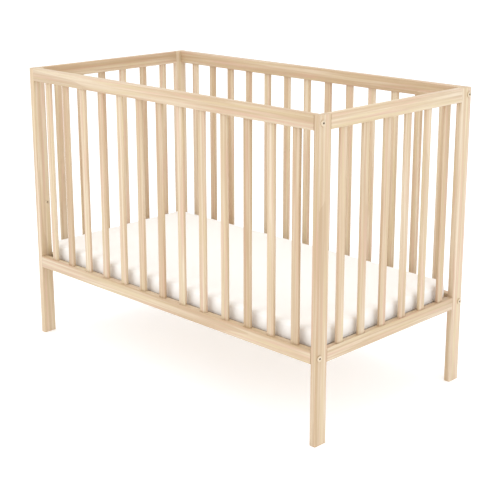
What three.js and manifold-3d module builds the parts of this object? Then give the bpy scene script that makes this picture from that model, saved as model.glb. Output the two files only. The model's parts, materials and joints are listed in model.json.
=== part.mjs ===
// A wooden baby crib. Each end is two posts, two rails and a row of slats, glued into one frame. Each long
// side is two rails and a row of slats, glued, and bolted between the posts. A slatted bed base is bolted
// between the ends and carries a foam mattress.
// Millimetres, +Z up. The origin is on the floor under the middle of the crib, X runs along the long sides,
// and the front is at -Y.

import * as THREE from "three";
import { mergeVertices } from "three/addons/utils/BufferGeometryUtils.js";
import Module from "manifold-3d";

// Overall size, over the posts
const CRIB_LENGTH = 1240;
const CRIB_WIDTH = 660;
const CRIB_HEIGHT = 900;

// Posts and rails
const POST_THICK = 20; // along X
const POST_DEPTH = 44; // along Y
const SIDE_RAIL_THICK = 24;
const TOP_RAIL_HEIGHT = 41;
const BOTTOM_RAIL_HEIGHT = 38;
const LEG_HEIGHT = 233; // floor to the underside of the bottom rails
const TIMBER_EDGE = 2; // chamfer on the long edges of posts and rails

// Slats
const SLAT_WIDTH = 27;
const SLAT_THICK = 10;
const SLAT_EDGE = 2.5; // chamfer on the long edges
const SLAT_TENON = 14; // how far a slat's end stands in each rail
const SIDE_SLATS = 13;
const END_SLATS = 6;
const SIDE_FIRST_GAP = 52; // post to first slat in a long side
const END_FIRST_GAP = 45; // post to first slat in an end

// Dowels: each rail end holds two, one near its upper face and one near its lower
const DOWEL_RADIUS = 4;
const DOWEL_REACH = 12; // length standing in the post
const DOWEL_INSET = 7; // from the rail's upper or lower face to the dowel's axis

// Connector bolts, with their barrel nuts
const BOLT_RADIUS = 3;
const BOLT_REACH = 42; // from the post's inner face into the long rail
const BOLT_HEAD_RADIUS = 8.5;
const BOLT_HEAD_THICK = 3;
const BOLT_HEAD_EDGE = 0.8;
const SOCKET_ACROSS_FLATS = 5;
const SOCKET_DEPTH = 2;
const NUT_RADIUS = 5;
const NUT_LENGTH = 14;
const NUT_SETBACK = 32; // from the rail's end to the nut's axis

// Bed base
const BASE_BAR_HEIGHT = 24;
const BASE_END_BAR_WIDTH = 20;
const BASE_SIDE_BAR_WIDTH = 30;
const BASE_SIDE_BAR_INSET = 24; // from the slats' ends to the side bar
const BASE_SLAT_WIDTH = 55;
const BASE_SLAT_THICK = 8;
const BASE_SLAT_LET_IN = 2; // how deep the slats sit in the side bars
const BASE_SLATS = 11;
const BASE_BOLT_DROP = 8; // from the base's upper face to its bolts' axes
const BASE_STEP = 200; // between the lower and the upper fixing holes
const BASE_BOLT_HOLE_RADIUS = 3.2;
const BASE_BOLT_HOLE_DEPTH = 12;

// Mattress
const MATTRESS_THICK = 60;
const MATTRESS_FRONT_GAP = 3; // it lies against the front
const MATTRESS_BACK_GAP = 13;
const MATTRESS_END_GAP = 3; // to each end
const MATTRESS_CORNER = 17; // radius of its upright corners
const MATTRESS_ROLL = 14; // radius of its upper and lower edges

// Fits
const BUTT_GAP = 0.3; // between faces that meet
const MORTISE_CLEARANCE = 0.3; // round a slat in its mortise
const BLIND_GAP = 1; // past the end of a slat or a dowel in its hole
const DOWEL_CLEARANCE = 0.3; // on radius
const BOLT_CLEARANCE = 0.5; // on radius
const NUT_CLEARANCE = 0.3; // on radius
const BASE_CLEARANCE = 2; // between the base and the crib, all round

// Facets
const CORNER_STEPS = 2;
const ROLL_STEPS = 3;
const DOWEL_FACETS = 10;
const BOLT_FACETS = 16;
const NUT_FACETS = 12;

// Places that follow from the sizes
const innerLength = CRIB_LENGTH - 2 * POST_THICK;
const innerWidth = CRIB_WIDTH - 2 * SIDE_RAIL_THICK;
const endRailLength = CRIB_WIDTH - 2 * POST_DEPTH;
const postX = (CRIB_LENGTH - POST_THICK) / 2;
const postY = (CRIB_WIDTH - POST_DEPTH) / 2;
const sideRailY = (CRIB_WIDTH - SIDE_RAIL_THICK) / 2;
const topRailZ = CRIB_HEIGHT - TOP_RAIL_HEIGHT / 2;
const bottomRailZ = LEG_HEIGHT + BOTTOM_RAIL_HEIGHT / 2;
const railRows = [
  ["top", topRailZ, TOP_RAIL_HEIGHT],
  ["bottom", bottomRailZ, BOTTOM_RAIL_HEIGHT],
];
const slatLowEnd = LEG_HEIGHT + BOTTOM_RAIL_HEIGHT - SLAT_TENON;
const slatHighEnd = CRIB_HEIGHT - TOP_RAIL_HEIGHT + SLAT_TENON;
const slatLength = slatHighEnd - slatLowEnd;
const slatZ = (slatHighEnd + slatLowEnd) / 2;
const baseBoltZ = bottomRailZ; // between the dowels of the end rail
const baseTop = baseBoltZ + BASE_BOLT_DROP;
const baseBoltY = (CRIB_WIDTH - POST_DEPTH - SIDE_RAIL_THICK) / 2; // middle of the post's bare inner strip

const wood = new THREE.MeshStandardMaterial({ color: 0xe8cda2, roughness: 0.55, metalness: 0 });
const steel = new THREE.MeshStandardMaterial({ color: 0xcfc4b2, roughness: 0.3, metalness: 1 });
const ticking = new THREE.MeshStandardMaterial({ color: 0xf4efe6, roughness: 0.9, metalness: 0 });

const wasm = await Module();
wasm.setup();

// A closed geometry as a manifold-3d solid, ready to be joined or cut.
function solid(geometry) {
  geometry.deleteAttribute("normal");
  geometry.deleteAttribute("uv");
  const merged = mergeVertices(geometry, 1e-4);
  return new wasm.Manifold(
    new wasm.Mesh({
      numProp: 3,
      vertProperties: new Float32Array(merged.attributes.position.array),
      triVerts: new Uint32Array(merged.index.array),
    }),
  );
}

// A finished solid as one named mesh.
function meshOf(name, body, material) {
  const { vertProperties, triVerts } = body.getMesh();
  const geometry = new THREE.BufferGeometry();
  geometry.setAttribute("position", new THREE.BufferAttribute(vertProperties, 3));
  geometry.setIndex(new THREE.BufferAttribute(triVerts, 1));
  geometry.computeVertexNormals();
  const mesh = new THREE.Mesh(geometry, material);
  mesh.name = name;
  return mesh;
}

const join = (body, pieces) => pieces.reduce((whole, piece) => whole.add(piece), body);
const cut = (body, pieces) => pieces.reduce((whole, piece) => whole.subtract(piece), body);

// A bar of planed timber with chamfered long edges, centred on the origin and lying along Z.
function barAlongZ(width, depth, length, chamfer) {
  const x = width / 2;
  const y = depth / 2;
  const outline = new THREE.Shape([
    new THREE.Vector2(x, chamfer - y),
    new THREE.Vector2(x, y - chamfer),
    new THREE.Vector2(x - chamfer, y),
    new THREE.Vector2(chamfer - x, y),
    new THREE.Vector2(-x, y - chamfer),
    new THREE.Vector2(-x, chamfer - y),
    new THREE.Vector2(chamfer - x, -y),
    new THREE.Vector2(x - chamfer, -y),
  ]);
  const bar = new THREE.ExtrudeGeometry(outline, { depth: length, bevelEnabled: false });
  return bar.translate(0, 0, -length / 2);
}

// The same along X or Y.
const barAlongX = (length, depth, height, chamfer) =>
  barAlongZ(height, depth, length, chamfer).rotateY(Math.PI / 2);
const barAlongY = (width, length, height, chamfer) =>
  barAlongZ(width, height, length, chamfer).rotateX(Math.PI / 2);

// Round rods and holes, centred on the origin.
const rodAlongX = (radius, length, facets) =>
  new THREE.CylinderGeometry(radius, radius, length, facets).rotateZ(Math.PI / 2);
const rodAlongY = (radius, length, facets) => new THREE.CylinderGeometry(radius, radius, length, facets);
const rodAlongZ = (radius, length, facets) => rodAlongY(radius, length, facets).rotateX(Math.PI / 2);

// Middles of the slats in a row of the given length, evenly spaced between its first and last gaps.
function slatMiddles(rowLength, firstGap, count) {
  const first = -rowLength / 2 + firstGap + SLAT_WIDTH / 2;
  return Array.from({ length: count }, (_, i) => first + (i * -2 * first) / (count - 1));
}
const sideSlatX = slatMiddles(innerLength, SIDE_FIRST_GAP, SIDE_SLATS);
const endSlatY = slatMiddles(endRailLength, END_FIRST_GAP, END_SLATS);

// One slat, upright, with its width along X. Its ends are its tenons, at full section.
const slatBody = () => solid(barAlongZ(SLAT_WIDTH, SLAT_THICK, slatLength, SLAT_EDGE));

// The mortise that takes a slat's end, open at the top of a rail of the given height.
function slatMortise(railHeight) {
  const depth = SLAT_TENON + BLIND_GAP;
  const hole = barAlongZ(
    SLAT_WIDTH + 2 * MORTISE_CLEARANCE,
    SLAT_THICK + 2 * MORTISE_CLEARANCE,
    2 * depth,
    SLAT_EDGE,
  );
  return hole.translate(0, 0, railHeight / 2);
}

// A long rail along X, centred on the origin, with its mortises on top and its inner face at +Y. Each end
// has two dowels, a bore for the connector bolt, and a cross hole for the barrel nut, open at the underside.
function sideRailBody(height) {
  const length = innerLength - 2 * BUTT_GAP;
  const timber = solid(barAlongX(length, SIDE_RAIL_THICK, height, TIMBER_EDGE));
  const pins = [];
  const holes = sideSlatX.map((x) => solid(slatMortise(height).translate(x, 0, 0)));
  for (const end of [-1, 1]) {
    for (const level of [DOWEL_INSET - height / 2, height / 2 - DOWEL_INSET]) {
      const pin = rodAlongX(DOWEL_RADIUS, 2 * (DOWEL_REACH + BUTT_GAP), DOWEL_FACETS);
      pins.push(solid(pin.translate((end * length) / 2, 0, level)));
    }
    const bore = rodAlongX(BOLT_RADIUS + BOLT_CLEARANCE, 2 * (BOLT_REACH + BLIND_GAP), DOWEL_FACETS);
    holes.push(solid(bore.translate((end * length) / 2, 0, 0)));
    const nutDepth = NUT_LENGTH / 2 + NUT_CLEARANCE;
    const nutHole = rodAlongZ(NUT_RADIUS + NUT_CLEARANCE, height + nutDepth, NUT_FACETS);
    const nutX = end * (length / 2 - NUT_SETBACK);
    holes.push(solid(nutHole.translate(nutX, 0, (nutDepth - height) / 2)));
  }
  return cut(join(timber, pins), holes);
}

// An end rail along Y, as thick as the posts, centred on the origin, with its mortises on top and two glued
// dowels in each end.
function endRailBody(height) {
  const length = endRailLength - 2 * BUTT_GAP;
  const timber = solid(barAlongY(POST_THICK, length, height, TIMBER_EDGE));
  const pins = [];
  for (const end of [-1, 1]) {
    for (const level of [DOWEL_INSET - height / 2, height / 2 - DOWEL_INSET]) {
      const pin = rodAlongY(DOWEL_RADIUS, 2 * (DOWEL_REACH + BUTT_GAP), DOWEL_FACETS);
      pins.push(solid(pin.translate(0, (end * length) / 2, level)));
    }
  }
  const mortises = endSlatY.map((y) => {
    const hole = slatMortise(height).rotateZ(Math.PI / 2);
    return solid(hole.translate(0, y, 0));
  });
  return cut(join(timber, pins), mortises);
}

// A post, standing on the origin. Its outer faces are at +X and at side * Y. It has a bolt bore and dowel
// holes at both rails, and two blind holes for the bed base's bolts, one above the other.
function postBody(side) {
  const holes = [];
  const dowelHole = DOWEL_RADIUS + DOWEL_CLEARANCE;
  const dowelDepth = DOWEL_REACH + BLIND_GAP;
  const boltY = side * (sideRailY - postY);
  for (const [, z, height] of railRows) {
    const bore = rodAlongX(BOLT_RADIUS + BOLT_CLEARANCE, 2 * POST_THICK, DOWEL_FACETS);
    holes.push(solid(bore.translate(0, boltY, z)));
    for (const level of [z + DOWEL_INSET - height / 2, z + height / 2 - DOWEL_INSET]) {
      const fromSide = rodAlongX(dowelHole, 2 * dowelDepth, DOWEL_FACETS);
      holes.push(solid(fromSide.translate(-POST_THICK / 2, boltY, level)));
      const fromEnd = rodAlongY(dowelHole, 2 * dowelDepth, DOWEL_FACETS);
      holes.push(solid(fromEnd.translate(0, (-side * POST_DEPTH) / 2, level)));
    }
  }
  for (const z of [baseBoltZ, baseBoltZ + BASE_STEP]) {
    const hole = rodAlongX(BASE_BOLT_HOLE_RADIUS, 2 * BASE_BOLT_HOLE_DEPTH, DOWEL_FACETS);
    holes.push(solid(hole.translate(-POST_THICK / 2, side * (baseBoltY - postY), z)));
  }
  const timber = barAlongZ(POST_THICK, POST_DEPTH, CRIB_HEIGHT, TIMBER_EDGE);
  return cut(solid(timber.translate(0, 0, CRIB_HEIGHT / 2)), holes);
}

// A connector bolt along X with its flat head's underside at the origin and its shank towards -X. Its barrel
// nut, which stands upright in the rail, is joined to it where the thread holds it.
function boltBody() {
  const length = POST_THICK + BUTT_GAP + BOLT_REACH;
  const profile = [
    [0, -length],
    [BOLT_RADIUS, -length],
    [BOLT_RADIUS, 0],
    [BOLT_HEAD_RADIUS, 0],
    [BOLT_HEAD_RADIUS, BOLT_HEAD_THICK - BOLT_HEAD_EDGE],
    [BOLT_HEAD_RADIUS - BOLT_HEAD_EDGE, BOLT_HEAD_THICK],
    [0, BOLT_HEAD_THICK],
  ].map(([radius, along]) => new THREE.Vector2(radius, along));
  const bolt = new THREE.LatheGeometry(profile, BOLT_FACETS).rotateZ(-Math.PI / 2);
  const socketRadius = SOCKET_ACROSS_FLATS / Math.sqrt(3);
  const socket = rodAlongX(socketRadius, 2 * SOCKET_DEPTH, 6).translate(BOLT_HEAD_THICK, 0, 0);
  const nut = rodAlongZ(NUT_RADIUS, NUT_LENGTH, NUT_FACETS);
  nut.translate(-(POST_THICK + 2 * BUTT_GAP + NUT_SETBACK), 0, 0);
  return join(solid(bolt), [solid(nut)]).subtract(solid(socket));
}

// The bed base, centred on the origin with its upper face at zero: a bar at each end, bored for its bolts, a
// bar along each side, and slats across, let into the side bars and glued.
function bedBaseBody() {
  const length = innerLength - 2 * BASE_CLEARANCE;
  const width = innerWidth - 2 * BASE_CLEARANCE;
  const sideBarHeight = BASE_BAR_HEIGHT - BASE_SLAT_THICK + BASE_SLAT_LET_IN;
  const barX = (length - BASE_END_BAR_WIDTH) / 2;
  const barY = (width - BASE_SIDE_BAR_WIDTH) / 2 - BASE_SIDE_BAR_INSET;
  const pieces = [];
  const holes = [];
  for (const end of [-1, 1]) {
    const endBar = barAlongY(BASE_END_BAR_WIDTH, width, BASE_BAR_HEIGHT, BASE_SLAT_LET_IN);
    pieces.push(solid(endBar.translate(end * barX, 0, -BASE_BAR_HEIGHT / 2)));
    const sideBar = new THREE.BoxGeometry(length - BASE_END_BAR_WIDTH, BASE_SIDE_BAR_WIDTH, sideBarHeight);
    pieces.push(solid(sideBar.translate(0, end * barY, sideBarHeight / 2 - BASE_BAR_HEIGHT)));
    for (const side of [-1, 1]) {
      const bore = rodAlongX(BOLT_RADIUS + BOLT_CLEARANCE, 2 * BASE_END_BAR_WIDTH, DOWEL_FACETS);
      holes.push(solid(bore.translate(end * barX, side * baseBoltY, -BASE_BOLT_DROP)));
    }
  }
  const slatRun = length - 2 * BASE_END_BAR_WIDTH;
  const pitch = slatRun / BASE_SLATS;
  for (let i = 0; i < BASE_SLATS; i++) {
    const slat = new THREE.BoxGeometry(BASE_SLAT_WIDTH, width, BASE_SLAT_THICK);
    pieces.push(solid(slat.translate((i + 0.5) * pitch - slatRun / 2, 0, -BASE_SLAT_THICK / 2)));
  }
  return cut(join(pieces[0], pieces.slice(1)), holes);
}

// The mattress, resting on the origin: a foam block in a plain cover, with round corners and soft edges.
// The outline is the mattress's own, drawn in by the roll, which the bevel then adds back.
function mattressBody() {
  const x = innerLength / 2 - MATTRESS_END_GAP - MATTRESS_CORNER;
  const y = (innerWidth - MATTRESS_FRONT_GAP - MATTRESS_BACK_GAP) / 2 - MATTRESS_CORNER;
  const radius = MATTRESS_CORNER - MATTRESS_ROLL;
  const outline = new THREE.Shape();
  outline.absarc(x, y, radius, 0, Math.PI / 2);
  outline.absarc(-x, y, radius, Math.PI / 2, Math.PI);
  outline.absarc(-x, -y, radius, Math.PI, 1.5 * Math.PI);
  outline.absarc(x, -y, radius, 1.5 * Math.PI, 2 * Math.PI);
  outline.closePath();
  const block = new THREE.ExtrudeGeometry(outline, {
    depth: MATTRESS_THICK - 2 * MATTRESS_ROLL,
    bevelThickness: MATTRESS_ROLL,
    bevelSize: MATTRESS_ROLL,
    bevelSegments: ROLL_STEPS,
    curveSegments: CORNER_STEPS,
  });
  return solid(block.translate(0, 0, MATTRESS_ROLL));
}

const crib = new THREE.Group();

const ends = [
  ["left", -1],
  ["right", 1],
];
const sides = [
  ["front", -1],
  ["back", 1],
];

// Posts, and the bolts that hold the long sides to them. A left post is a right post turned half round.
for (const [endName, end] of ends) {
  for (const [sideName, side] of sides) {
    const post = meshOf(`post_${sideName}_${endName}`, postBody(side * end), wood);
    post.position.set(end * postX, side * postY, 0);
    post.rotation.z = end < 0 ? Math.PI : 0;
    crib.add(post);
    for (const [level, z] of railRows) {
      const bolt = meshOf(`bolt_${sideName}_${endName}_${level}`, boltBody(), steel);
      bolt.position.set(end * (CRIB_LENGTH / 2 + BUTT_GAP), side * sideRailY, z);
      bolt.rotation.z = end < 0 ? Math.PI : 0;
      crib.add(bolt);
    }
  }
}

// Long sides. A top rail is a rail turned over, so that its mortises face down.
for (const [sideName, side] of sides) {
  for (const [level, z, height] of railRows) {
    const rail = meshOf(`${sideName}_${level}_rail`, sideRailBody(height), wood);
    const turnedOver = level === "top";
    rail.position.set(0, side * sideRailY, z);
    rail.rotation.x = turnedOver ? Math.PI : 0;
    rail.rotation.z = turnedOver === side > 0 ? 0 : Math.PI;
    crib.add(rail);
  }
  sideSlatX.forEach((x, i) => {
    const slat = meshOf(`${sideName}_slat_${String(i + 1).padStart(2, "0")}`, slatBody(), wood);
    slat.position.set(x, side * sideRailY, slatZ);
    crib.add(slat);
  });
}

// Ends
for (const [endName, end] of ends) {
  for (const [level, z, height] of railRows) {
    const rail = meshOf(`${endName}_${level}_rail`, endRailBody(height), wood);
    rail.position.set(end * postX, 0, z);
    rail.rotation.y = level === "top" ? Math.PI : 0;
    crib.add(rail);
  }
  endSlatY.forEach((y, i) => {
    const slat = meshOf(`${endName}_slat_${i + 1}`, slatBody(), wood);
    slat.position.set(end * postX, y, slatZ);
    slat.rotation.z = Math.PI / 2;
    crib.add(slat);
  });
}

// Bed base and mattress
const bedBase = meshOf("bed_base", bedBaseBody(), wood);
bedBase.position.z = baseTop;
crib.add(bedBase);
const mattress = meshOf("mattress", mattressBody(), ticking);
mattress.position.set(0, (MATTRESS_FRONT_GAP - MATTRESS_BACK_GAP) / 2, baseTop + BUTT_GAP);
crib.add(mattress);

export default crib;
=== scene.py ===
# A baby crib of pale pine: four straight posts, slatted sides and ends, a slatted bed base and a foam
# mattress. Metres, +Z up, front at -Y.

import json
import math

import bmesh
import bpy
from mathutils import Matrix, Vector


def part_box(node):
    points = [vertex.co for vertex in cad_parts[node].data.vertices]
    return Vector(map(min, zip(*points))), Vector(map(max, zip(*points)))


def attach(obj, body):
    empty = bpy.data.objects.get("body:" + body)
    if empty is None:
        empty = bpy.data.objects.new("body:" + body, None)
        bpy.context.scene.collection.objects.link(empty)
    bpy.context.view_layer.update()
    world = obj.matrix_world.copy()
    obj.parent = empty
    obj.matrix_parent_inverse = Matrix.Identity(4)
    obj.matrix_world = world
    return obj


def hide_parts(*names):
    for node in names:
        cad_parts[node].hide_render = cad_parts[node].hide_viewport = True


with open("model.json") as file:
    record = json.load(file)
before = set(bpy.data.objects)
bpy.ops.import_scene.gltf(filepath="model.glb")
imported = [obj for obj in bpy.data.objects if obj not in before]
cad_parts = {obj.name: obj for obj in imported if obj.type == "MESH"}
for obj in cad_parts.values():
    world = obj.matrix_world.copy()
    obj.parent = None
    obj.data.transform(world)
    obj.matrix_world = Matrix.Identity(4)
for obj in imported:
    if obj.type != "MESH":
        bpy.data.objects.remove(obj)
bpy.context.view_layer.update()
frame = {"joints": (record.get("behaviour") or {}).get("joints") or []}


# Camera. It stands off the crib's front right corner, above the top rails, with a long lens.

CAMERA_PLACE = (2.459, -2.439, 1.400)
CAMERA_TILT = math.radians(75.38)
CAMERA_TURN = math.radians(44.63)
CAMERA_LENS = 82.3
CAMERA_SHIFT = -0.09

bpy.ops.object.select_all(action="DESELECT")
bpy.ops.object.camera_add(location=CAMERA_PLACE, rotation=(CAMERA_TILT, 0, CAMERA_TURN))
camera = bpy.context.object
camera.name = "studio_camera"
camera.data.lens = CAMERA_LENS
camera.data.shift_y = CAMERA_SHIFT
bpy.context.scene.camera = camera


# Studio. A wide near-white floor under an even white sky, with one soft light high at the front left, a
# weaker one to the right and a large one far overhead, so that shadows stay short and faint.

FLOOR_SIZE = 120
STUDIO_WHITE = (1, 1, 1, 1)
PAPER_TONE = (0.885, 0.9, 0.925, 1)
PAPER_GLOW = 0.27
SKY_STRENGTH = 1.02

bpy.ops.object.select_all(action="DESELECT")
bpy.ops.mesh.primitive_plane_add(size=FLOOR_SIZE)
floor = bpy.context.object
floor.name = "studio_floor"
paper = bpy.data.materials.new("studio_paper")
paper.use_nodes = True
paper_shader = paper.node_tree.nodes["Principled BSDF"]
paper_shader.inputs["Base Color"].default_value = PAPER_TONE
paper_shader.inputs["Roughness"].default_value = 0.9
paper_shader.inputs["Emission Color"].default_value = STUDIO_WHITE
paper_shader.inputs["Emission Strength"].default_value = PAPER_GLOW
floor.data.materials.append(paper)

sky = bpy.data.worlds.new("studio_sky")
sky.use_nodes = True
sky.node_tree.nodes["Background"].inputs["Color"].default_value = STUDIO_WHITE
sky.node_tree.nodes["Background"].inputs["Strength"].default_value = SKY_STRENGTH
bpy.context.scene.world = sky
bpy.context.scene.view_settings.view_transform = "Standard"


def soft_light(name, place, target, size, watts):
    """A square soft light at a place, aimed at a target."""
    bpy.ops.object.light_add(type="AREA", location=place)
    light = bpy.context.object
    light.name = name
    light.rotation_euler = (Vector(target) - Vector(place)).to_track_quat("-Z", "Y").to_euler()
    light.data.size = size
    light.data.energy = watts


soft_light("key_light", (-1.2, -3.6, 3.4), target=(0, 0, 0.5), size=2.6, watts=30)
soft_light("fill_light", (4.2, -0.6, 2.6), target=(0, 0, 0.5), size=2.4, watts=20)
soft_light("top_light", (0, 0, 8), target=(0, 0, 0), size=5.5, watts=108)


# Pine. All the timber is planed pine under a clear satin lacquer: fine straight grain with pink and yellow
# streaks, darker lines of latewood, and rings where a piece shows its end. The pattern is stretched along
# the piece, and because it is fixed in space, no two pieces are alike.

ALONG_X, ALONG_Y, ALONG_Z = 0, 1, 2
MIX_SHARE, MIX_UNDER, MIX_OVER, MIX_RESULT = 0, 6, 7, 2
PINE_PALE = (0.74, 0.622, 0.465, 1)
PINE_WARM = (0.605, 0.458, 0.296, 1)
PINE_PINK = (0.68, 0.465, 0.345, 1)
PINE_YELLOW = (0.67, 0.55, 0.34, 1)
PINE_LATEWOOD = (0.47, 0.325, 0.19, 1)
PINE_END = (0.53, 0.38, 0.235, 1)
STREAK_SHARE = 0.7
LATEWOOD_SHARE = 0.32
BOARD_SHARE = 0.5
FIBRE_SHARE = 0.22
PORE_SHARE = 0.24


def pine(name, along):
    """A lacquered pine whose grain runs along one axis."""
    material = bpy.data.materials.new(name)
    material.use_nodes = True
    tree = material.node_tree
    shader = tree.nodes["Principled BSDF"]
    place = tree.nodes.new("ShaderNodeTexCoord")

    def stretched(across, lengthways, turn=0.0):
        mapping = tree.nodes.new("ShaderNodeMapping")
        mapping.inputs["Scale"].default_value = [lengthways if i == along else across for i in range(3)]
        mapping.inputs["Rotation"].default_value[along] = turn
        tree.links.new(place.outputs["Object"], mapping.inputs["Vector"])
        return mapping.outputs["Vector"]

    def noise(vector, detail=2.0, distortion=0.0):
        texture = tree.nodes.new("ShaderNodeTexNoise")
        texture.inputs["Scale"].default_value = 1
        texture.inputs["Detail"].default_value = detail
        texture.inputs["Distortion"].default_value = distortion
        tree.links.new(vector, texture.inputs["Vector"])
        return texture.outputs["Fac"]

    def between(value, low, high):
        limits = tree.nodes.new("ShaderNodeMapRange")
        limits.interpolation_type = "SMOOTHSTEP"
        limits.inputs["From Min"].default_value = low
        limits.inputs["From Max"].default_value = high
        tree.links.new(value, limits.inputs["Value"])
        return limits.outputs["Result"]

    def times(value, amount):
        product = tree.nodes.new("ShaderNodeMath")
        product.operation = "MULTIPLY"
        product.inputs[1].default_value = amount
        tree.links.new(value, product.inputs[0])
        return product.outputs["Value"]

    def over(under, top, share, blend="MIX"):
        mix = tree.nodes.new("ShaderNodeMix")
        mix.data_type = "RGBA"
        mix.blend_type = blend
        tree.links.new(share, mix.inputs[MIX_SHARE])
        for colour, socket in ((under, mix.inputs[MIX_UNDER]), (top, mix.inputs[MIX_OVER])):
            if isinstance(colour, tuple):
                socket.default_value = colour
            else:
                tree.links.new(colour, socket)
        return mix.outputs[MIX_RESULT]

    # Long faces: boards differ in tone, and streaks and latewood lines run through each.
    fibre = noise(stretched(620, 7), detail=3)
    pore = noise(stretched(1900, 34), detail=2)
    streak = noise(stretched(130, 2.2, turn=0.4), detail=4, distortion=0.3)
    pink_streak = noise(stretched(140, 4.5), detail=3, distortion=0.3)
    yellow_streak = noise(stretched(110, 3.5, turn=1.1), detail=3)
    board = noise(stretched(11, 0.25))
    colour = over(PINE_PALE, PINE_WARM, between(streak, 0.38, 0.6))
    colour = over(colour, PINE_PINK, times(between(pink_streak, 0.49, 0.64), STREAK_SHARE))
    colour = over(colour, PINE_YELLOW, times(between(yellow_streak, 0.5, 0.66), STREAK_SHARE))
    rings = tree.nodes.new("ShaderNodeTexWave")
    rings.bands_direction = "DIAGONAL"
    rings.wave_profile = "SAW"
    rings.inputs["Scale"].default_value = 1
    rings.inputs["Distortion"].default_value = 5
    rings.inputs["Detail"].default_value = 2
    rings.inputs["Detail Scale"].default_value = 0.35
    tree.links.new(stretched(38, 0.5, turn=0.7), rings.inputs["Vector"])
    latewood = times(between(rings.outputs["Fac"], 0.62, 1.0), LATEWOOD_SHARE)
    colour = over(colour, PINE_LATEWOOD, latewood)
    colour = over(colour, PINE_WARM, times(between(board, 0.4, 0.7), BOARD_SHARE), blend="MULTIPLY")
    colour = over(colour, PINE_LATEWOOD, times(between(fibre, 0.54, 0.72), FIBRE_SHARE))
    colour = over(colour, PINE_LATEWOOD, times(between(pore, 0.56, 0.74), PORE_SHARE))

    # Ends: growth rings, darker because the grain soaks up more lacquer.
    facing = tree.nodes.new("ShaderNodeVectorMath")
    facing.operation = "DOT_PRODUCT"
    facing.inputs[1].default_value = [1.0 if i == along else 0.0 for i in range(3)]
    tree.links.new(place.outputs["Normal"], facing.inputs[0])
    either_way = tree.nodes.new("ShaderNodeMath")
    either_way.operation = "ABSOLUTE"
    tree.links.new(facing.outputs["Value"], either_way.inputs[0])
    ring_lines = noise(stretched(240, 0.001, turn=0.9), detail=3, distortion=0.6)
    end_grain = over(PINE_END, PINE_WARM, between(ring_lines, 0.4, 0.62))
    colour = over(colour, end_grain, between(either_way.outputs["Value"], 0.8, 0.97))

    tree.links.new(colour, shader.inputs["Base Color"])
    satin = tree.nodes.new("ShaderNodeMapRange")
    satin.inputs["To Min"].default_value = 0.42
    satin.inputs["To Max"].default_value = 0.58
    tree.links.new(fibre, satin.inputs["Value"])
    tree.links.new(satin.outputs["Result"], shader.inputs["Roughness"])
    relief = tree.nodes.new("ShaderNodeBump")
    relief.inputs["Strength"].default_value = 0.25
    relief.inputs["Distance"].default_value = 0.0004
    tree.links.new(fibre, relief.inputs["Height"])
    tree.links.new(relief.outputs["Normal"], shader.inputs["Normal"])
    shader.inputs["Coat Weight"].default_value = 0.12
    shader.inputs["Coat Roughness"].default_value = 0.35
    return material


upright_pine = pine("pine_upright", ALONG_Z)
lengthways_pine = pine("pine_lengthways", ALONG_X)
crossways_pine = pine("pine_crossways", ALONG_Y)


# Posts. Each is one straight length of pine, 20 by 44 mm, with its edges rounded over by the planer. Its
# inner face has two steel inserts, 200 mm apart, for the bed base's bolts.

POST_EDGE = 0.0026
POST_END_EDGE = 0.0012
INSERT_RADIUS = 0.0034
INSERT_DEPTH = 0.012
DRILL_START = 0.01
TOUCHING = 1e-5
SMOOTH_ANGLE = math.radians(35)
CORNERS = {"front_right": "", "front_left": "x", "back_right": "y", "back_left": "xy"}
base_lift = {joint["name"]: joint for joint in frame["joints"]}["base_height"]["range_m"][1]


def only(*pieces):
    """Makes these the only selected objects, the first one active."""
    bpy.ops.object.select_all(action="DESELECT")
    for piece in pieces:
        piece.select_set(True)
    bpy.context.view_layer.objects.active = pieces[0]


def pick_edges(piece, wanted):
    """In edit mode, selects the edges whose middle and direction are wanted."""
    bpy.ops.mesh.select_mode(type="EDGE")
    bpy.ops.mesh.select_all(action="DESELECT")
    mesh = bmesh.from_edit_mesh(piece.data)
    for edge in mesh.edges:
        start, end = (corner.co for corner in edge.verts)
        edge.select_set(wanted((start + end) / 2, (end - start).normalized()))
    bmesh.update_edit_mesh(piece.data)


def round_edges(piece, wanted, radius, segments):
    """Rounds the edges whose middle and direction are wanted."""
    only(piece)
    bpy.ops.object.mode_set(mode="EDIT")
    pick_edges(piece, wanted)
    bpy.ops.mesh.bevel(offset=radius, segments=segments, affect="EDGES")
    bpy.ops.object.mode_set(mode="OBJECT")


def block(name, low, high):
    """A sharp block that fills the box from low to high, to be rounded further."""
    bpy.ops.object.select_all(action="DESELECT")
    bpy.ops.mesh.primitive_cube_add(size=1, location=(low + high) / 2, scale=high - low)
    piece = bpy.context.object
    piece.name = piece.data.name = name
    bpy.ops.object.transform_apply(location=True, rotation=False, scale=True)
    return piece


def planed_bar(name, low, high, along, edge, end_edge):
    """A bar that fills the box from low to high, with round long edges and slightly eased ends."""
    bar = block(name, low, high)

    def at_an_end(middle, way):
        from_end = min(middle[along] - low[along], high[along] - middle[along])
        return abs(way[along]) < 0.01 and from_end < TOUCHING

    round_edges(bar, lambda middle, way: abs(way[along]) > 0.99, edge, segments=4)
    round_edges(bar, at_an_end, end_edge, segments=2)
    return bar


def rod(name, start, end, radius, sides=32):
    """A plain round rod from start to end, to be shaped further or used as a drill."""
    way = Vector(end) - Vector(start)
    bpy.ops.object.select_all(action="DESELECT")
    bpy.ops.mesh.primitive_cylinder_add(
        vertices=sides,
        radius=radius,
        depth=way.length,
        location=(Vector(start) + Vector(end)) / 2,
        rotation=way.to_track_quat("Z", "Y").to_euler(),
    )
    piece = bpy.context.object
    piece.name = piece.data.name = name
    bpy.ops.object.transform_apply(location=True, rotation=True, scale=False)
    return piece


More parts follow.
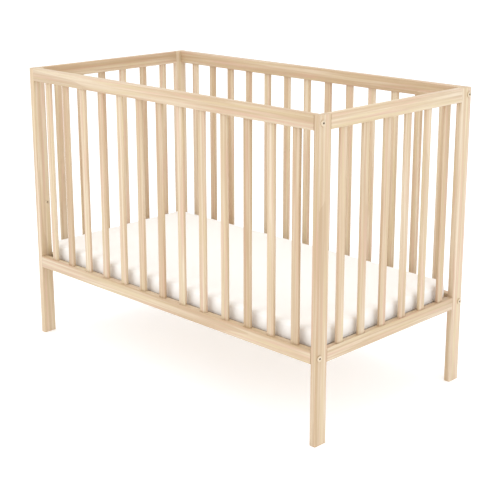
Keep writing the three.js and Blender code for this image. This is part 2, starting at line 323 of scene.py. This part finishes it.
def cut_with(piece, tool):
    """Takes the tool's shape out of the piece, and throws the tool away."""
    cut = piece.modifiers.new("cut", "BOOLEAN")
    cut.operation = "DIFFERENCE"
    cut.solver = "EXACT"
    cut.object = tool
    only(piece)
    bpy.ops.object.modifier_apply(modifier=cut.name)
    bpy.data.objects.remove(tool)


def finished(piece, material, slot, body, *nodes):
    """Smooths a finished piece, gives it its material, and puts it on its body in its CAD nodes' place."""
    only(piece)
    bpy.ops.object.shade_smooth_by_angle(angle=SMOOTH_ANGLE)
    piece.data.materials.clear()
    piece.data.materials.append(material)
    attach(piece, body)
    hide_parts(*nodes)


def own_copy(piece, name):
    """A copy with its own mesh, left active and selected alone."""
    only(piece)
    bpy.ops.object.duplicate()
    copy = bpy.context.object
    copy.name = copy.data.name = name
    return copy


def moved_copy(piece, name, move):
    """A copy with its own mesh, moved."""
    copy = own_copy(piece, name)
    bpy.ops.transform.translate(value=move)
    bpy.ops.object.transform_apply(location=True, rotation=False, scale=False)
    return copy


def mirrored_copy(piece, name, across):
    """A copy with its own mesh, mirrored across the crib's middle along each axis named in across."""
    copy = own_copy(piece, name)
    flip = [-1 if axis in across else 1 for axis in "xyz"]
    bpy.ops.transform.resize(value=flip, center_override=(0, 0, 0))
    bpy.ops.object.transform_apply(location=True, rotation=True, scale=True)
    bpy.ops.object.mode_set(mode="EDIT")
    bpy.ops.mesh.select_all(action="SELECT")
    bpy.ops.mesh.normals_make_consistent(inside=False)
    bpy.ops.object.mode_set(mode="OBJECT")
    return copy


post_low, post_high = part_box("post_front_right")
front_rail_low, front_rail_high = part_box("front_bottom_rail")
insert_y = (post_high.y + front_rail_high.y) / 2
insert_z = (front_rail_low.z + front_rail_high.z) / 2
insert_levels = (insert_z, insert_z + base_lift)

post = planed_bar("post", post_low, post_high, ALONG_Z, POST_EDGE, POST_END_EDGE)
for z in insert_levels:
    mouth = (post_low.x - DRILL_START, insert_y, z)
    cut_with(post, rod("drill", mouth, (post_low.x + INSERT_DEPTH, insert_y, z), INSERT_RADIUS))
for corner, across in CORNERS.items():
    standing = mirrored_copy(post, f"{corner}_post", across)
    finished(standing, upright_pine, "timber", "frame", f"post_{corner}")
bpy.data.objects.remove(post)


# Inserts. A zinc plated steel sleeve, screwed almost flush into the post, with a hexagonal mouth for its
# key. The plating is pale yellow, like that of every bolt on the crib.

INSERT_PROUD = 0.0002
INSERT_LENGTH = 0.011
INSERT_ROOM = 0.0001
INSERT_EDGE = 0.0003
INSERT_BORE = 0.0024
INSERT_BORE_DEPTH = 0.010
INSERT_KEY_ACROSS_CORNERS = 0.0054
INSERT_KEY_DEPTH = 0.0015
ZINC_LIGHT = (0.76, 0.64, 0.48, 1)
ZINC_DARK = (0.64, 0.53, 0.39, 1)


def mottled(name, light, dark, scale, detail):
    """A material whose colour wanders between two tones, with its shader, its place node and its mottle."""
    material = bpy.data.materials.new(name)
    material.use_nodes = True
    tree = material.node_tree
    shader = tree.nodes["Principled BSDF"]
    place = tree.nodes.new("ShaderNodeTexCoord")
    mottle = tree.nodes.new("ShaderNodeTexNoise")
    mottle.inputs["Scale"].default_value = scale
    mottle.inputs["Detail"].default_value = detail
    tree.links.new(place.outputs["Object"], mottle.inputs["Vector"])
    tone = tree.nodes.new("ShaderNodeMix")
    tone.data_type = "RGBA"
    tone.inputs[MIX_UNDER].default_value = light
    tone.inputs[MIX_OVER].default_value = dark
    tree.links.new(mottle.outputs["Fac"], tone.inputs[MIX_SHARE])
    tree.links.new(tone.outputs[MIX_RESULT], shader.inputs["Base Color"])
    return material, shader, place, mottle


zinc, zinc_shader, _, zinc_mottle = mottled("zinc_plated_steel", ZINC_LIGHT, ZINC_DARK, 900, detail=3)
zinc_shader.inputs["Metallic"].default_value = 1
zinc_satin = zinc.node_tree.nodes.new("ShaderNodeMapRange")
zinc_satin.inputs["To Min"].default_value = 0.32
zinc_satin.inputs["To Max"].default_value = 0.5
zinc.node_tree.links.new(zinc_mottle.outputs["Fac"], zinc_satin.inputs["Value"])
zinc.node_tree.links.new(zinc_satin.outputs["Result"], zinc_shader.inputs["Roughness"])

insert_mouth = Vector((post_low.x - INSERT_PROUD, insert_y, insert_z))
insert_back = insert_mouth + Vector((INSERT_LENGTH, 0, 0))
insert = rod("insert", insert_mouth, insert_back, INSERT_RADIUS - INSERT_ROOM)
round_edges(insert, lambda middle, way: middle.x < insert_mouth.x + TOUCHING, INSERT_EDGE, segments=2)
before_mouth = insert_mouth - Vector((DRILL_START, 0, 0))
key_floor = insert_mouth + Vector((INSERT_KEY_DEPTH, 0, 0))
cut_with(insert, rod("hex_key", before_mouth, key_floor, INSERT_KEY_ACROSS_CORNERS / 2, sides=6))
bore_floor = insert_mouth + Vector((INSERT_BORE_DEPTH, 0, 0))
cut_with(insert, rod("tap", before_mouth, bore_floor, INSERT_BORE))
for level, z in zip(("low", "high"), insert_levels):
    raised = moved_copy(insert, "raised_insert", (0, 0, z - insert_z))
    for corner, across in CORNERS.items():
        finished(mirrored_copy(raised, f"{corner}_{level}_insert", across), zinc, "bolt_steel", "frame")
    bpy.data.objects.remove(raised)
bpy.data.objects.remove(insert)


# Slats. Thin pine strips, 27 by 10 mm, with well rounded edges. Their ends stand in mortises in the rails.

SLAT_EDGE = 0.0036
SLAT_END_EDGE = 0.0004
SIDE_SLATS = 13
END_SLATS = 6


def slat_row(pattern, count, body):
    """The first slat of a row, modelled, and the others copied from it to their places."""
    names = [pattern.format(i + 1) for i in range(count)]
    low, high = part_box(names[0])
    first = planed_bar("first_slat", low, high, ALONG_Z, SLAT_EDGE, SLAT_END_EDGE)
    for name in names:
        copy = moved_copy(first, name.replace("slat", "upright"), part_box(name)[0] - low)
        finished(copy, upright_pine, "timber", body, name)
    bpy.data.objects.remove(first)


for side in ("front", "back"):
    slat_row(side + "_slat_{:02d}", SIDE_SLATS, "frame")
for end in ("left", "right"):
    slat_row(end + "_slat_{}", END_SLATS, "frame")


# Rails. The long rails are 24 mm thick and run between the posts; the end rails are as thick as the posts.
# Each has a row of mortises for the slats, cut a hair wide, and butts against the posts. The long rails are
# drilled from below, near their ends, for the barrel nuts.

RAIL_EDGE = 0.003
RAIL_END_EDGE = 0.0007
MORTISE_ROOM = 0.0004
JOINT_GAP = 0.0003
NUT_SETBACK = 0.0323
NUT_RADIUS = 0.005
NUT_LENGTH = 0.014
NUT_HOLE_ROOM = 0.0004


def mortise_cutter(nodes):
    """The uprights of a row, all in one, each a hair wider than the slat."""
    room = Vector((MORTISE_ROOM, MORTISE_ROOM, MORTISE_ROOM))
    tools = []
    for node in nodes:
        low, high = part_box(node)
        tools.append(planed_bar("mortise", low - room, high + room, ALONG_Z, SLAT_EDGE, SLAT_END_EDGE))
    only(*tools)
    bpy.ops.object.join()
    return bpy.context.object


def rail_between(name, node, low_end, high_end, along):
    """A rail with its node's section, from one end to the other."""
    low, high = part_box(node)
    low[along], high[along] = low_end, high_end
    return planed_bar(name, low, high, along, RAIL_EDGE, RAIL_END_EDGE)


side_slats = [f"front_slat_{i + 1:02d}" for i in range(SIDE_SLATS)]
end_slats = [f"right_slat_{i + 1}" for i in range(END_SLATS)]
for level in ("top", "bottom"):
    side_node = f"front_{level}_rail"
    rail = rail_between("side_rail", side_node, JOINT_GAP - post_low.x, post_low.x - JOINT_GAP, ALONG_X)
    cut_with(rail, mortise_cutter(side_slats))
    rail_low, rail_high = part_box(side_node)
    middle = (rail_low + rail_high) / 2
    for end in (-1, 1):
        nut_x = end * (post_low.x - NUT_SETBACK)
        below = (nut_x, middle.y, rail_low.z - DRILL_START)
        hole_top = (nut_x, middle.y, middle.z + NUT_LENGTH / 2 + NUT_HOLE_ROOM)
        cut_with(rail, rod("drill", below, hole_top, NUT_RADIUS + NUT_HOLE_ROOM))
    for side, across in (("front", ""), ("back", "y")):
        hung = mirrored_copy(rail, f"{side}_{level}_crib_rail", across)
        finished(hung, lengthways_pine, "timber", "frame", f"{side}_{level}_rail")
    bpy.data.objects.remove(rail)

    end_node = f"right_{level}_rail"
    rail = rail_between("end_rail", end_node, JOINT_GAP + post_high.y, -post_high.y - JOINT_GAP, ALONG_Y)
    cut_with(rail, mortise_cutter(end_slats))
    for end, across in (("right", ""), ("left", "x")):
        hung = mirrored_copy(rail, f"{end}_{level}_crib_rail", across)
        finished(hung, crossways_pine, "timber", "frame", f"{end}_{level}_rail")
    bpy.data.objects.remove(rail)


# Connector bolts and barrel nuts. A flat headed steel bolt with a hexagonal socket goes through each post
# into the end of a long rail, where a slotted barrel nut stands across it. Both are zinc plated and pale
# yellow; the inside of the socket gets a near-black material as painted shade for the recess.

HEAD_RADIUS = 0.0085
HEAD_THICK = 0.003
HEAD_EDGE = 0.0011
SHANK_RADIUS = 0.003
OVERLAP = 0.0001
SOCKET_RADIUS = 0.003
SOCKET_DEPTH = 0.0028
SOCKET_RIM = 0.0002
NUT_SLOT = 0.0012
NUT_SLOT_DEPTH = 0.0015
NUT_EDGE = 0.0005
SAW_EDGE = 0.0002
SAW_END_EDGE = 0.0001
# Near-black tones painted into the bolt sockets as shade for the recess, not a colour of the steel.
SOCKET_SHADE_DARK = (0.055, 0.042, 0.030, 1)
SOCKET_SHADE_BROWN = (0.11, 0.085, 0.06, 1)

painted_shade_socket, socket_shader, _, _ = mottled("painted_shade_socket", SOCKET_SHADE_DARK, SOCKET_SHADE_BROWN, 1200, detail=2)
socket_shader.inputs["Metallic"].default_value = 0.6
socket_shader.inputs["Roughness"].default_value = 0.5


def paint_socket_shade(piece, axis_y, axis_z, mouth):
    """Gives the faces inside a bolt's socket, whose axis runs along X, the near-black material that paints
    shade into the recess.
    """
    piece.data.materials.append(painted_shade_socket)
    for face in piece.data.polygons:
        off_axis = math.hypot(abs(face.center.y) - abs(axis_y), face.center.z - axis_z)
        inwards = mouth - abs(face.center.x)
        if off_axis < SOCKET_RADIUS and SOCKET_RIM < inwards < SOCKET_DEPTH + OVERLAP:
            face.material_index = 1


for level in ("top", "bottom"):
    low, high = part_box(f"bolt_front_right_{level}")
    axis_y, axis_z = (low.y + high.y) / 2, (low.z + high.z) / 2
    head_face = high.x
    head_back = high.x - HEAD_THICK
    head = rod("head", (head_back, axis_y, axis_z), (head_face, axis_y, axis_z), HEAD_RADIUS, sides=64)
    round_edges(head, lambda middle, way: middle.x > head_face - TOUCHING, HEAD_EDGE, segments=4)
    outside = (head_face + DRILL_START, axis_y, axis_z)
    socket_floor = (head_face - SOCKET_DEPTH, axis_y, axis_z)
    cut_with(head, rod("hex_key", outside, socket_floor, SOCKET_RADIUS, sides=6))
    shank = rod("shank", (low.x, axis_y, axis_z), (head_back + OVERLAP, axis_y, axis_z), SHANK_RADIUS)
    only(head, shank)
    bpy.ops.object.join()

    nut_face = Vector((post_low.x - NUT_SETBACK, axis_y, axis_z - NUT_LENGTH / 2))
    nut = rod("nut", nut_face, nut_face + Vector((0, 0, NUT_LENGTH)), NUT_RADIUS, sides=40)
    round_edges(nut, lambda middle, way: abs(way.z) < 0.01, NUT_EDGE, segments=2)
    slot_half = Vector((2 * NUT_RADIUS, NUT_SLOT / 2, NUT_SLOT_DEPTH))
    slot_low, slot_high = nut_face - slot_half, nut_face + slot_half
    cut_with(nut, planed_bar("saw", slot_low, slot_high, ALONG_X, SAW_EDGE, SAW_END_EDGE))

    for corner, across in CORNERS.items():
        node = f"bolt_{corner}_{level}"
        screwed = mirrored_copy(head, f"{corner}_{level}_connector", across)
        finished(screwed, zinc, "bolt_steel", "frame", node)
        # Paints shade into the socket: its inner faces get the near-black material.
        paint_socket_shade(screwed, axis_y, axis_z, head_face)
        held = mirrored_copy(nut, f"{corner}_{level}_barrel_nut", across)
        finished(held, zinc, "bolt_steel", "frame", node)
    bpy.data.objects.remove(head)
    bpy.data.objects.remove(nut)


# Bed base. Two end bars and two side bars carry eleven thin slats, each let into the side bars and fixed by
# two staples at each crossing.

END_BAR = 0.020
SIDE_BAR = 0.030
SIDE_BAR_INSET = 0.024
SIDE_BAR_END_EDGE = 0.0004
BED_SLAT_WIDTH = 0.055
BED_SLAT_THICK = 0.008
BED_SLAT_LET_IN = 0.002
BED_SLATS = 11
BED_EDGE = 0.0018
BED_END_EDGE = 0.0008
STAPLE_CROWN = 0.010
STAPLE_WIRE = 0.0012
STAPLE_OFFSETS = (-0.25, 0.25)

base_low, base_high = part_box("bed_base")
bar_low = Vector((base_high.x - END_BAR, base_low.y, base_low.z))
bar = planed_bar("end_bar", bar_low, base_high, ALONG_Y, BED_EDGE, BED_END_EDGE)
for end, across in (("right", ""), ("left", "x")):
    finished(mirrored_copy(bar, f"bed_{end}_bar", across), crossways_pine, "timber", "base", "bed_base")
bpy.data.objects.remove(bar)

bar_front = base_low.y + SIDE_BAR_INSET
bar_top = base_high.z - BED_SLAT_THICK + BED_SLAT_LET_IN
bar_low = Vector((base_low.x + END_BAR + JOINT_GAP, bar_front, base_low.z))
bar_high = Vector((base_high.x - END_BAR - JOINT_GAP, bar_front + SIDE_BAR, bar_top))
bar = planed_bar("side_bar", bar_low, bar_high, ALONG_X, BED_EDGE, SIDE_BAR_END_EDGE)
for side, across in (("front", ""), ("back", "y")):
    finished(mirrored_copy(bar, f"bed_{side}_bar", across), lengthways_pine, "timber", "base", "bed_base")
bpy.data.objects.remove(bar)

slat_pitch = (base_high.x - base_low.x - 2 * END_BAR) / BED_SLATS
first_middle = base_low.x + END_BAR + slat_pitch / 2
slat_low = Vector((first_middle - BED_SLAT_WIDTH / 2, base_low.y, base_high.z - BED_SLAT_THICK))
slat_high = Vector((first_middle + BED_SLAT_WIDTH / 2, base_high.y, base_high.z))
first_slat = planed_bar("bed_slat", slat_low, slat_high, ALONG_Y, BED_EDGE, BED_END_EDGE)
half = Vector((STAPLE_CROWN, STAPLE_WIRE, STAPLE_WIRE)) / 2
staples = []
for offset in STAPLE_OFFSETS:
    for y in (bar_front + SIDE_BAR / 2, -bar_front - SIDE_BAR / 2):
        crown = Vector((first_middle + offset * BED_SLAT_WIDTH, y, base_high.z - STAPLE_WIRE / 3))
        wire = planed_bar("staple", crown - half, crown + half, ALONG_X, STAPLE_WIRE / 3, STAPLE_WIRE / 4)
        staples.append(wire)
only(*staples)
bpy.ops.object.join()
first_staples = bpy.context.object
for i in range(BED_SLATS):
    move = (i * slat_pitch, 0, 0)
    laid = moved_copy(first_slat, f"bed_slat_{i + 1:02d}", move)
    finished(laid, crossways_pine, "timber", "base", "bed_base")
    finished(moved_copy(first_staples, f"bed_staples_{i + 1:02d}", move), zinc, "bolt_steel", "base")
bpy.data.objects.remove(first_slat)
bpy.data.objects.remove(first_staples)


# Base bolts. A button headed bolt with a washer at each corner of the base goes through the end bar into
# the post's insert. They are taken out and put back to change the base's height.

BASE_BOLT_RADIUS = 0.0022
BASE_BOLT_REACH = 0.009
BUTTON_RADIUS = 0.0055
BUTTON_THICK = 0.0032
BUTTON_ROUND = 0.0022
BUTTON_KEY_RADIUS = 0.0023
BUTTON_KEY_DEPTH = 0.0018
WASHER_RADIUS = 0.008
WASHER_THICK = 0.0012
WASHER_EDGE = 0.0003


def on_bolt_axis(x):
    """A point on the base bolt's axis."""
    return (x, insert_y, insert_z)


washer_face = base_high.x - END_BAR
button_back = washer_face - WASHER_THICK
button_face = button_back - BUTTON_THICK
washer = rod("washer", on_bolt_axis(button_back), on_bolt_axis(washer_face), WASHER_RADIUS, sides=48)
round_edges(washer, lambda middle, way: middle.x < button_back + TOUCHING, WASHER_EDGE, segments=2)
button = rod("button", on_bolt_axis(button_face), on_bolt_axis(button_back), BUTTON_RADIUS, sides=48)
round_edges(button, lambda middle, way: middle.x < button_face + TOUCHING, BUTTON_ROUND, segments=5)
key_start = on_bolt_axis(button_face - DRILL_START)
key_floor = on_bolt_axis(button_face + BUTTON_KEY_DEPTH)
cut_with(button, rod("hex_key", key_start, key_floor, BUTTON_KEY_RADIUS, sides=6))
shank_end = on_bolt_axis(post_low.x + BASE_BOLT_REACH)
shank = rod("shank", on_bolt_axis(button_back), shank_end, BASE_BOLT_RADIUS)
only(button, washer, shank)
bpy.ops.object.join()
for corner, across in CORNERS.items():
    finished(mirrored_copy(button, f"{corner}_base_bolt", across), zinc, "bolt_steel", "base")
bpy.data.objects.remove(button)


# Mattress. A foam block in a plain white cotton cover, drawn tight: a top and a bottom panel sewn to a band
# round the sides, with a thin welt in each seam, the lower one of beige tape. It swells a little and lies
# flat on the base.

MATTRESS_CORNER = 0.018
MATTRESS_TOP_ROLL = 0.012
MATTRESS_BOTTOM_ROLL = 0.005
SWELL = 0.0025
VOXEL = 0.0075
CLOTH_PRESSURE = 4
CLOTH_STEPS = 20
CLOTH_QUALITY = 5
THREADS = 330
WELT_RADIUS = 0.0011
WELT_SINK = 0.0006
WELT_CUTS = 60
COTTON_WHITE = (0.965, 0.95, 0.925, 1)
COTTON_CREAM = (0.94, 0.92, 0.89, 1)
TAPE_BEIGE = (0.52, 0.46, 0.38, 1)
TAPE_BROWN = (0.42, 0.36, 0.29, 1)


def cotton(name, light, dark):
    """A matt plain-woven cotton with a slight slub."""
    material, shader, place, _ = mottled(name, light, dark, 14, detail=5)
    tree = material.node_tree
    height = None
    for axis in ("X", "Y", "Z"):
        threads = tree.nodes.new("ShaderNodeTexWave")
        threads.bands_direction = axis
        threads.inputs["Scale"].default_value = THREADS
        threads.inputs["Distortion"].default_value = 0.8
        threads.inputs["Detail"].default_value = 1
        tree.links.new(place.outputs["Object"], threads.inputs["Vector"])
        if height is None:
            height = threads.outputs["Fac"]
        else:
            crossing = tree.nodes.new("ShaderNodeMath")
            tree.links.new(height, crossing.inputs[0])
            tree.links.new(threads.outputs["Fac"], crossing.inputs[1])
            height = crossing.outputs["Value"]
    weave = tree.nodes.new("ShaderNodeBump")
    weave.inputs["Strength"].default_value = 0.25
    weave.inputs["Distance"].default_value = 0.0002
    tree.links.new(height, weave.inputs["Height"])
    tree.links.new(weave.outputs["Normal"], shader.inputs["Normal"])
    shader.inputs["Roughness"].default_value = 0.88
    shader.inputs["Sheen Weight"].default_value = 0.25
    shader.inputs["Sheen Roughness"].default_value = 0.5
    return material


cover = cotton("cotton_cover", COTTON_WHITE, COTTON_CREAM)
tape = cotton("cotton_tape", TAPE_BEIGE, TAPE_BROWN)
mattress_low, mattress_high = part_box("mattress")
low = mattress_low + Vector((SWELL, SWELL, 0))
high = mattress_high - Vector((SWELL, SWELL, SWELL))
pad = block("mattress_pad", low, high)
round_edges(pad, lambda middle, way: abs(way.z) > 0.99, MATTRESS_CORNER - SWELL, segments=10)
round_edges(pad, lambda middle, way: high.z - middle.z < TOUCHING, MATTRESS_TOP_ROLL, segments=6)
round_edges(pad, lambda middle, way: middle.z - low.z < TOUCHING, MATTRESS_BOTTOM_ROLL, segments=3)
remesh = pad.modifiers.new("remesh", "REMESH")
remesh.mode = "VOXEL"
remesh.voxel_size = VOXEL
bpy.ops.object.modifier_apply(modifier=remesh.name)
drawn = [vertex.co.copy() for vertex in pad.data.vertices]
cloth = pad.modifiers.new("cloth", "CLOTH")
cloth.settings.use_pressure = True
cloth.settings.uniform_pressure_force = CLOTH_PRESSURE
cloth.settings.effector_weights.gravity = 0
cloth.settings.quality = CLOTH_QUALITY
for step in range(1, CLOTH_STEPS + 1):
    bpy.context.scene.frame_set(step)
bpy.ops.object.modifier_apply(modifier=cloth.name)
bpy.context.scene.frame_set(1)
for vertex, start in zip(pad.data.vertices, drawn):
    travel = vertex.co - start
    vertex.co = start + travel * min(1, SWELL / max(travel.length, 1e-9))
for vertex in pad.data.vertices:
    vertex.co.z = max(vertex.co.z, mattress_low.z)
smooth = pad.modifiers.new("smooth", "SUBSURF")
smooth.levels = smooth.render_levels = 1
bpy.ops.object.modifier_apply(modifier=smooth.name)
finished(pad, cover, "ticking", "mattress", "mattress")


def welt(name, level, cloth_of_welt):
    """A round cord laid along the pad's surface at a level, half sunk in the seam."""
    bpy.ops.object.select_all(action="DESELECT")
    middle = (mattress_low + mattress_high) / 2
    size = mattress_high - mattress_low
    bpy.ops.mesh.primitive_plane_add(size=1, location=(middle.x, middle.y, level))
    cord = bpy.context.object
    cord.name = name
    cord.scale = (size.x, size.y, 1)
    bpy.ops.object.transform_apply(location=True, rotation=False, scale=True)
    bpy.ops.object.mode_set(mode="EDIT")
    bpy.ops.mesh.select_all(action="SELECT")
    bpy.ops.mesh.bevel(offset=MATTRESS_CORNER, segments=12, affect="VERTICES")
    bpy.ops.mesh.delete(type="ONLY_FACE")
    pick_edges(cord, lambda middle, way: max(abs(way.x), abs(way.y)) > 0.999)
    bpy.ops.mesh.subdivide(number_cuts=WELT_CUTS)
    bpy.ops.object.mode_set(mode="OBJECT")
    for vertex in cord.data.vertices:
        _, spot, facing, _ = pad.closest_point_on_mesh(vertex.co)
        vertex.co = spot - facing * WELT_SINK
    bpy.ops.object.convert(target="CURVE")
    bpy.context.object.data.bevel_depth = WELT_RADIUS
    bpy.context.object.data.bevel_resolution = 2
    bpy.ops.object.convert(target="MESH")
    cord = bpy.context.object
    cord.data.name = name
    finished(cord, cloth_of_welt, "ticking", "mattress")


welt("mattress_top_welt", mattress_high.z - SWELL, cover)
welt("mattress_bottom_welt", mattress_low.z + MATTRESS_BOTTOM_ROLL, tape)
